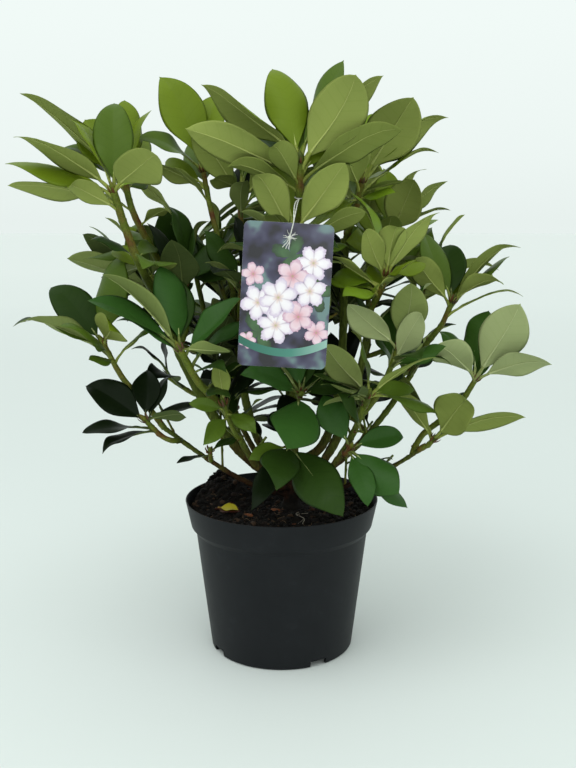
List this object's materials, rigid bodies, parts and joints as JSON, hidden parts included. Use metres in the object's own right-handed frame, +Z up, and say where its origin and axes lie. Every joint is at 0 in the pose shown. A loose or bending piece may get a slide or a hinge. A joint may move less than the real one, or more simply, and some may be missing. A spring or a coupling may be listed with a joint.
{
  "type": "potted rhododendron",
  "caption": "Young evergreen flowering shrub with whorls of leathery leaves in a round black nursery pot of peat, with a label card hung from its top shoot.",
  "frame": {"origin": "centre of the pot's flat underside", "axes": "+Z up along the pot's axis, -Y towards the front that the label card faces, +X to the right as seen from the front"},
  "size_m": [0.5705, 0.4684, 0.6709],
  "materials": {
    "pot_plastic": "black moulded polypropylene, satin",
    "peat": "moist dark peat, rough",
    "bark": "young bark, brown at the foot and green-brown above, dull",
    "foliage": "leathery leaves, deep green above and olive below, with a soft sheen",
    "card": "printed plastic card, smooth",
    "thread": "white thread"
  },
  "bodies": {
    "root": {"pot": "pot_plastic", "soil": "peat", "trunk": "bark", "bough_left_low": "bark", "bough_right_low": "bark", "bough_left_front": "bark", "bough_right_front": "bark", "bough_back_left": "bark", "bough_back_right": "bark", "bough_back": "bark", "bough_right_outer": "bark", "bough_left_high": "bark", "bough_right_inner": "bark", "bough_left_inner": "bark", "bough_right_high": "bark", "bough_centre": "bark", "leaves_top": "foliage", "leaves_left_high": "foliage", "leaves_left_high_back": "foliage", "leaves_upper_left": "foliage", "leaves_upper_mid": "foliage", "leaves_upper_right": "foliage", "leaves_heart": "foliage", "leaves_right_upper": "foliage", "leaves_right_inner": "foliage", "leaves_right_outer_high": "foliage", "leaves_right_outer": "foliage", "leaves_right_low": "foliage", "leaves_right_mid": "foliage", "leaves_front_right": "foliage", "leaves_front_right_low": "foliage", "leaves_centre": "foliage", "leaves_centre_low": "foliage", "leaves_left_mid": "foliage", "leaves_left_outer": "foliage", "leaves_left_low": "foliage", "leaves_left_inner_back": "foliage", "leaves_left_inner": "foliage", "leaves_left_heart": "foliage", "leaves_left_under": "foliage", "leaves_low_left": "foliage", "leaves_back_top": "foliage", "leaves_back_far": "foliage", "leaves_back_mid": "foliage", "leaves_back_left_high": "foliage", "leaves_back_left_far": "foliage", "leaves_back_left_rear": "foliage", "leaves_back_left_low": "foliage", "leaves_back_right_high": "foliage", "leaves_back_right_far": "foliage", "leaves_back_right_rear": "foliage", "leaves_back_right_low": "foliage", "leaves_low_back_left": "foliage", "leaves_low_back_right": "foliage", "leaves_inner_left": "foliage", "leaves_inner_high": "foliage", "leaves_inner_right": "foliage", "leaves_inner_low": "foliage", "label_card": "card", "label_thread": "thread"}
  },
  "joints": []
}
